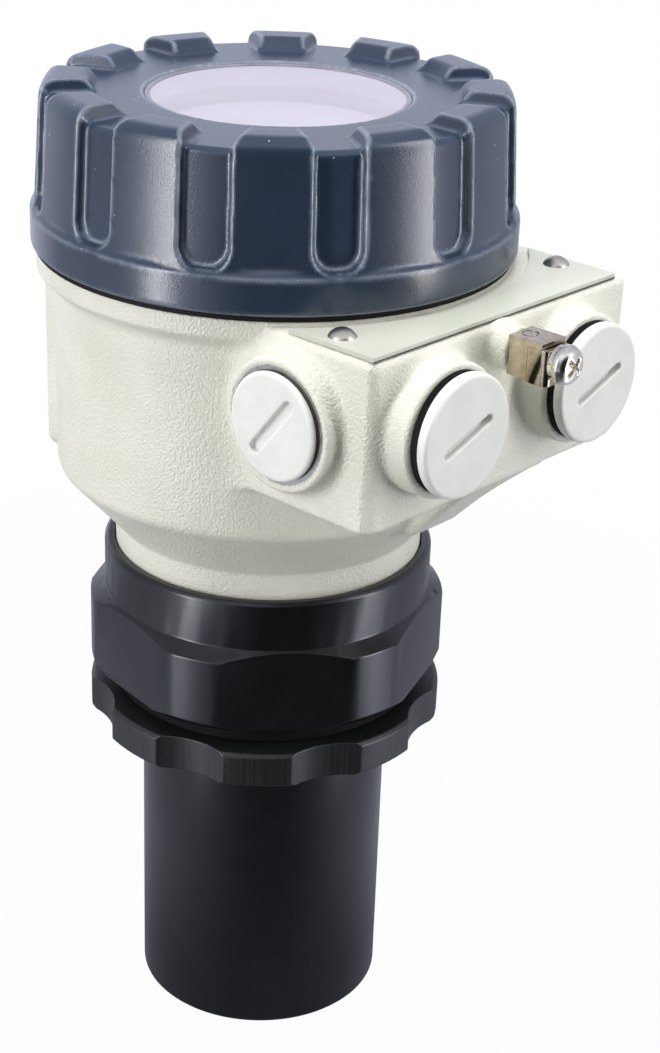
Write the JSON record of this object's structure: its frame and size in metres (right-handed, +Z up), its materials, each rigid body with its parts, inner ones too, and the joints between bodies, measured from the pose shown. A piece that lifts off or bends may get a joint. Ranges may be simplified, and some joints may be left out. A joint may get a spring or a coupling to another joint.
{
  "type": "ultrasonic level transmitter",
  "caption": "Ultrasonic level transmitter: black sensor tube with pipe thread and lock nut, cast housing with terminal box, plugged cable entries and a ribbed screw cover with a window.",
  "frame": {"origin": "centre of the sensing face at the foot of the sensor tube", "axes": "+Z up along the sensor's axis, -Y towards the front of the terminal box, +X to its right as seen from the back"},
  "size_m": [0.1002, 0.1283, 0.2123],
  "materials": {
    "housing_coat": "cream powder coat on an aluminium casting",
    "cover_coat": "slate blue-grey satin coat on an aluminium casting",
    "black_plastic": "black polypropylene, turned and moulded",
    "plug_plastic": "white-grey moulded nylon",
    "seal_rubber": "black moulded rubber",
    "plate_metal": "painted aluminium sheet",
    "rivet_steel": "satin steel",
    "nickel_brass": "nickel-plated brass sheet",
    "bright_steel": "bright zinc-plated steel",
    "window_glass": "clear glass",
    "white_plastic": "white moulded plastic",
    "module_plastic": "grey moulded plastic and potting",
    "board_laminate": "green circuit board",
    "terminal_plastic": "green moulded terminal block",
    "piezo_ceramic": "fired piezo ceramic with metal faces",
    "backing_foam": "closed-cell damping foam",
    "potting_resin": "cast potting resin",
    "lead_sheath": "sheathed lead",
    "post_brass": "turned brass"
  },
  "bodies": {
    "transmitter": {"housing": "housing_coat", "neck_seal": "seal_rubber", "sensor_body": "black_plastic", "matching_layer": "potting_resin", "piezo_disc": "piezo_ceramic", "backing_foam": "backing_foam", "sensor_pot": "potting_resin", "sensor_lead": "lead_sheath", "cover_seal": "seal_rubber", "nameplate": "plate_metal", "nameplate_rivets": "rivet_steel", "earth_strap": "nickel_brass", "earth_saddle": "nickel_brass", "module_deck": "white_plastic", "electronics_module": "module_plastic", "module_posts": "post_brass", "module_screws": "bright_steel", "terminal_board": "board_laminate", "board_screws": "bright_steel", "terminal_block": "terminal_plastic", "terminal_screws": "bright_steel", "earth_spring_washer": "bright_steel", "earth_screw": "bright_steel"},
    "cover_travel": {"window": "window_glass", "window_gasket": "seal_rubber", "window_retainer": "black_plastic"},
    "cover_turner": {"cover": "cover_coat"},
    "lock_nut_travel": {"process_seal": "seal_rubber"},
    "lock_nut_turner": {"lock_nut": "black_plastic"},
    "cable_plug_left_travel": {"cable_plug_seal_left": "seal_rubber"},
    "cable_plug_left_turner": {"cable_plug_left": "plug_plastic"},
    "cable_plug_right_travel": {"cable_plug_seal_right": "seal_rubber"},
    "cable_plug_right_turner": {"cable_plug_right": "plug_plastic"},
    "conduit_plug_left_travel": {"conduit_plug_seal_left": "seal_rubber"},
    "conduit_plug_left_turner": {"conduit_plug_left": "plug_plastic"},
    "conduit_plug_right_travel": {"conduit_plug_seal_right": "seal_rubber"},
    "conduit_plug_right_turner": {"conduit_plug_right": "plug_plastic"}
  },
  "joints": [
    {"name": "cover_advance", "type": "slide", "parent": "transmitter", "child": "cover_travel", "axis": [0, 0, 1], "range_m": [0, 0.012]},
    {"name": "cover_turn", "type": "hinge", "parent": "cover_travel", "child": "cover_turner", "pos_m": [0, 0, 0.19], "axis": [0, 0, 1], "range_deg": [0, 1440]},
    {"name": "lock_nut_advance", "type": "slide", "parent": "transmitter", "child": "lock_nut_travel", "axis": [0, 0, -1], "range_m": [0, 0.01154]},
    {"name": "lock_nut_turn", "type": "hinge", "parent": "lock_nut_travel", "child": "lock_nut_turner", "pos_m": [0, 0, 0.075], "axis": [0, 0, -1], "range_deg": [0, 1800]},
    {"name": "cable_plug_left_advance", "type": "slide", "parent": "transmitter", "child": "cable_plug_left_travel", "axis": [0, -1, 0], "range_m": [0, 0.0075]},
    {"name": "cable_plug_left_turn", "type": "hinge", "parent": "cable_plug_left_travel", "child": "cable_plug_left_turner", "pos_m": [-0.0202, -0.066, 0.1617], "axis": [0, -1, 0], "range_deg": [0, 1800]},
    {"name": "cable_plug_right_advance", "type": "slide", "parent": "transmitter", "child": "cable_plug_right_travel", "axis": [0, -1, 0], "range_m": [0, 0.0075]},
    {"name": "cable_plug_right_turn", "type": "hinge", "parent": "cable_plug_right_travel", "child": "cable_plug_right_turner", "pos_m": [0.0202, -0.066, 0.1617], "axis": [0, -1, 0], "range_deg": [0, 1800]},
    {"name": "conduit_plug_left_advance", "type": "slide", "parent": "transmitter", "child": "conduit_plug_left_travel", "axis": [-1, 0, 0], "range_m": [0, 0.00726]},
    {"name": "conduit_plug_left_turn", "type": "hinge", "parent": "conduit_plug_left_travel", "child": "conduit_plug_left_turner", "pos_m": [-0.04, -0.0405, 0.1608], "axis": [-1, 0, 0], "range_deg": [0, 1440]},
    {"name": "conduit_plug_right_advance", "type": "slide", "parent": "transmitter", "child": "conduit_plug_right_travel", "axis": [1, 0, 0], "range_m": [0, 0.00726]},
    {"name": "conduit_plug_right_turn", "type": "hinge", "parent": "conduit_plug_right_travel", "child": "conduit_plug_right_turner", "pos_m": [0.044, -0.0405, 0.1608], "axis": [1, 0, 0], "range_deg": [0, 1440]}
  ],
  "couplings": [
    {"joint": "cover_advance", "follows": "cover_turn", "m_per_rad": 0.00047746},
    {"joint": "lock_nut_advance", "follows": "lock_nut_turn", "m_per_rad": 0.00036749},
    {"joint": "cable_plug_left_advance", "follows": "cable_plug_left_turn", "m_per_rad": 0.00023873},
    {"joint": "cable_plug_right_advance", "follows": "cable_plug_right_turn", "m_per_rad": 0.00023873},
    {"joint": "conduit_plug_left_advance", "follows": "conduit_plug_left_turn", "m_per_rad": 0.00028871},
    {"joint": "conduit_plug_right_advance", "follows": "conduit_plug_right_turn", "m_per_rad": 0.00028871}
  ]
}
